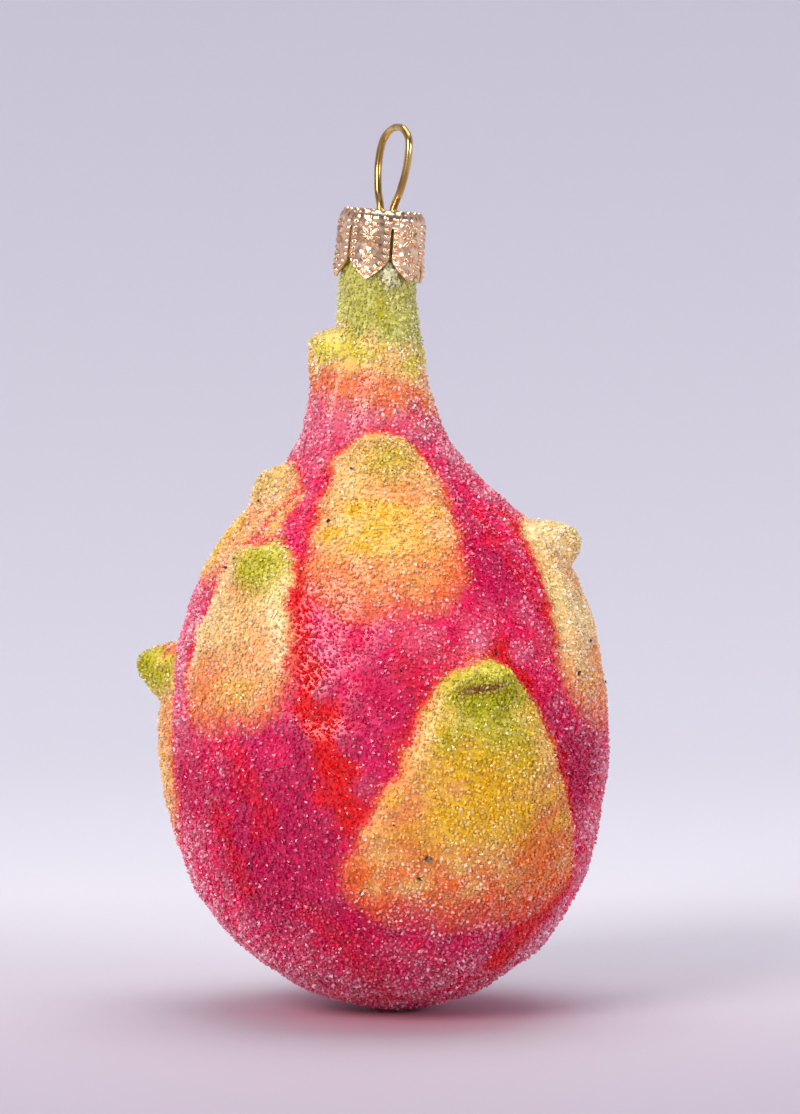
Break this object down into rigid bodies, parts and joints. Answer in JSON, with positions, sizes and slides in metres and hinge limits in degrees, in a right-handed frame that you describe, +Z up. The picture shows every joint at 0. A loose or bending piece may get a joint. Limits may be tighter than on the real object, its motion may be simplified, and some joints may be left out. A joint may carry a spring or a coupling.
{
  "type": "dragon fruit tree ornament",
  "caption": "Hollow glass tree ornament shaped like a dragon fruit, with raised bracts, a coat of fine crystals, a pressed metal cap and a bent wire eye to hang it by.",
  "frame": {"origin": "where a hook or thread touches the inside of the wire eye's top", "axes": "+Z up along the hanging ornament, -Y towards its front, +X to the right as seen from the front"},
  "size_m": [0.0586, 0.0584, 0.1106],
  "materials": {
    "coated_glass": "lacquered glass under a rough coat of clear crystals",
    "cap_metal": "bright pressed sheet with a rose-gold tint",
    "wire_metal": "bright drawn wire"
  },
  "bodies": {
    "root": {"glass_bulb": "coated_glass", "cap": "cap_metal", "hanger_wire": "wire_metal"}
  },
  "joints": []
}
